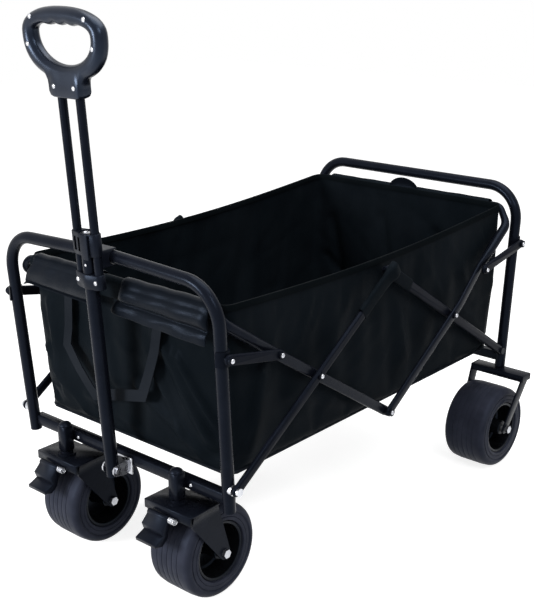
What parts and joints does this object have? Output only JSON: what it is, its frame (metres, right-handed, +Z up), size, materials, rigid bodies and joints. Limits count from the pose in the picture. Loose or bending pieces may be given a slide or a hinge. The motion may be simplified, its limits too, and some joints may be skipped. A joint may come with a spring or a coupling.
{
  "type": "folding beach cart",
  "caption": "Folding beach cart with a black cloth bag on a scissor frame, wide wheels, swivel casters and a telescopic pull handle.",
  "frame": {"origin": "on the ground under the middle of the whole cart's box", "axes": "+Z up, -Y towards the pull handle and the swivel casters, +X to the right seen from behind the handle"},
  "size_m": [0.6574, 0.9964, 1.0133],
  "materials": {
    "black_paint": "gloss black powder coat",
    "black_plastic": "satin moulded",
    "hub_plastic": "dark moulded",
    "rubber": "matte tread",
    "zinc_steel": "zinc plated",
    "bag_cloth": "woven polyester"
  },
  "bodies": {
    "front_frame": {"front_frame": "black_paint", "front_crossbar": "black_paint", "caster_post_left": "black_paint", "caster_post_right": "black_paint", "front_link_saddle_left": "black_paint", "front_link_saddle_right": "black_paint", "post_cap_left": "black_plastic", "post_cap_right": "black_plastic", "handle_yoke": "zinc_steel", "front_pivot_left": "zinc_steel", "front_pivot_right": "zinc_steel"},
    "scissor_front_left": {"scissor_front_left": "black_paint"},
    "scissor_rear_left": {"scissor_rear_left": "black_paint"},
    "scissor_front_right": {"scissor_front_right": "black_paint"},
    "scissor_rear_right": {"scissor_rear_right": "black_paint"},
    "rear_frame": {"rear_frame": "black_paint", "rear_crossbar": "black_paint", "rear_fork_left": "black_paint", "rear_fork_right": "black_paint", "rear_pivot_left": "black_paint", "rear_pivot_right": "black_paint", "rear_link_saddle_left": "black_paint", "rear_link_saddle_right": "black_paint", "rear_axle_left": "zinc_steel", "rear_axle_right": "zinc_steel"},
    "front_rim_loop": {"front_rim_loop": "black_paint"},
    "rear_rim_loop": {"rear_rim_loop": "black_paint"},
    "front_link_left": {"front_link_left": "black_paint"},
    "rear_link_left": {"rear_link_left": "black_paint"},
    "front_link_right": {"front_link_right": "black_paint"},
    "rear_link_right": {"rear_link_right": "black_paint"},
    "bag": {"bag_floor": "bag_cloth", "bag_front_wall": "bag_cloth", "bag_rear_wall": "bag_cloth", "bag_side_left": "bag_cloth", "bag_side_right": "bag_cloth"},
    "handle": {"handle_tube": "black_paint", "handle_guide": "black_plastic"},
    "handle_slider": {"handle_slider": "black_plastic", "grip_front_shell": "black_plastic", "grip_rear_shell": "black_plastic", "handle_rod_left": "black_paint", "handle_rod_right": "black_paint"},
    "caster_left": {"caster_fork_left": "black_paint", "front_axle_left": "zinc_steel"},
    "brake_left": {"brake_pedal_left": "black_plastic"},
    "front_wheel_left": {"front_left_tyre": "rubber", "front_left_hub": "hub_plastic"},
    "rear_wheel_left": {"rear_left_tyre": "rubber", "rear_left_hub": "hub_plastic"},
    "caster_right": {"caster_fork_right": "black_paint", "front_axle_right": "zinc_steel"},
    "brake_right": {"brake_pedal_right": "black_plastic"},
    "front_wheel_right": {"front_right_tyre": "rubber", "front_right_hub": "hub_plastic"},
    "rear_wheel_right": {"rear_right_tyre": "rubber", "rear_right_hub": "hub_plastic"}
  },
  "joints": [
    {"name": "fold", "type": "hinge", "parent": "front_frame", "child": "scissor_front_right", "pos_m": [0.2765, -0.40723, 0.25], "axis": [1, 0, 0], "range_deg": [0, 41], "deforming": ["bag_floor", "bag_front_wall", "bag_rear_wall", "bag_side_left", "bag_side_right"]},
    {"name": "fold_left", "type": "hinge", "parent": "front_frame", "child": "scissor_front_left", "pos_m": [-0.2765, -0.40723, 0.25], "axis": [1, 0, 0], "range_deg": [0, 41]},
    {"name": "top_middle_left", "type": "hinge", "parent": "scissor_front_left", "child": "scissor_rear_left", "pos_m": [-0.266, 0.0172, 0.528], "axis": [1, 0, 0], "range_deg": [-82, 0]},
    {"name": "top_middle_right", "type": "hinge", "parent": "scissor_front_right", "child": "scissor_rear_right", "pos_m": [0.266, 0.0172, 0.528], "axis": [1, 0, 0], "range_deg": [-82, 0]},
    {"name": "rear_frame_hinge", "type": "hinge", "parent": "scissor_rear_right", "child": "rear_frame", "pos_m": [0.266, 0.44163, 0.25], "axis": [1, 0, 0], "range_deg": [0, 41]},
    {"name": "front_crossing", "type": "hinge", "parent": "scissor_front_right", "child": "front_rim_loop", "pos_m": [0.266, -0.19502, 0.389], "axis": [1, 0, 0], "range_deg": [-82, 0]},
    {"name": "rear_crossing", "type": "hinge", "parent": "scissor_rear_right", "child": "rear_rim_loop", "pos_m": [0.266, 0.22942, 0.389], "axis": [1, 0, 0], "range_deg": [0, 82]},
    {"name": "front_link_hinge_left", "type": "hinge", "parent": "front_frame", "child": "front_link_left", "pos_m": [-0.27996, -0.42169, 0.484], "axis": [1, 0, 0], "range_deg": [0, 82]},
    {"name": "rear_link_hinge_left", "type": "hinge", "parent": "rear_frame", "child": "rear_link_left", "pos_m": [-0.27996, 0.47809, 0.484], "axis": [1, 0, 0], "range_deg": [-72.16, 0]},
    {"name": "front_link_hinge_right", "type": "hinge", "parent": "front_frame", "child": "front_link_right", "pos_m": [0.27996, -0.42169, 0.484], "axis": [1, 0, 0], "range_deg": [0, 82]},
    {"name": "rear_link_hinge_right", "type": "hinge", "parent": "rear_frame", "child": "rear_link_right", "pos_m": [0.27996, 0.47809, 0.484], "axis": [1, 0, 0], "range_deg": [-72.16, 0]},
    {"name": "bag_level", "type": "hinge", "parent": "scissor_front_right", "child": "bag", "pos_m": [0.2765, 0.0172, 0.528], "axis": [1, 0, 0], "range_deg": [-41, 0]},
    {"name": "handle_tilt", "type": "hinge", "parent": "front_frame", "child": "handle", "pos_m": [0, -0.43482, 0.213], "axis": [1, 0, 0], "range_deg": [0, 80]},
    {"name": "handle_telescope", "type": "slide", "parent": "handle", "child": "handle_slider", "axis": [0, 0.0627, -0.998], "range_m": [0, 0.19]},
    {"name": "caster_swivel_left", "type": "hinge", "parent": "front_frame", "child": "caster_left", "pos_m": [-0.148, -0.41882, 0.19], "axis": [0, 0, 1], "continuous": true},
    {"name": "front_wheel_spin_left", "type": "hinge", "parent": "caster_left", "child": "front_wheel_left", "pos_m": [-0.148, -0.36182, 0.08809], "axis": [1, 0, 0], "continuous": true},
    {"name": "brake_hinge_left", "type": "hinge", "parent": "caster_left", "child": "brake_left", "pos_m": [-0.162, -0.45062, 0.1745], "axis": [1, 0, 0], "range_deg": [0, 10]},
    {"name": "rear_wheel_spin_left", "type": "hinge", "parent": "rear_frame", "child": "rear_wheel_left", "pos_m": [-0.254, 0.4092, 0.08809], "axis": [1, 0, 0], "continuous": true},
    {"name": "caster_swivel_right", "type": "hinge", "parent": "front_frame", "child": "caster_right", "pos_m": [0.148, -0.41882, 0.19], "axis": [0, 0, 1], "continuous": true},
    {"name": "front_wheel_spin_right", "type": "hinge", "parent": "caster_right", "child": "front_wheel_right", "pos_m": [0.148, -0.36182, 0.08809], "axis": [1, 0, 0], "continuous": true},
    {"name": "brake_hinge_right", "type": "hinge", "parent": "caster_right", "child": "brake_right", "pos_m": [0.134, -0.45062, 0.1745], "axis": [1, 0, 0], "range_deg": [0, 10]},
    {"name": "rear_wheel_spin_right", "type": "hinge", "parent": "rear_frame", "child": "rear_wheel_right", "pos_m": [0.254, 0.4092, 0.08809], "axis": [1, 0, 0], "continuous": true}
  ],
  "couplings": [
    {"joint": "fold_left", "follows": "fold", "ratio": 1},
    {"joint": "top_middle_left", "follows": "fold", "ratio": -2},
    {"joint": "top_middle_right", "follows": "fold", "ratio": -2},
    {"joint": "rear_frame_hinge", "follows": "fold", "ratio": 1},
    {"joint": "front_crossing", "follows": "fold", "ratio": -2},
    {"joint": "rear_crossing", "follows": "fold", "ratio": 2},
    {"joint": "front_link_hinge_left", "follows": "fold", "ratio": 2},
    {"joint": "rear_link_hinge_left", "follows": "fold", "ratio": -1.76},
    {"joint": "front_link_hinge_right", "follows": "fold", "ratio": 2},
    {"joint": "rear_link_hinge_right", "follows": "fold", "ratio": -1.76},
    {"joint": "bag_level", "follows": "fold", "ratio": -1}
  ]
}
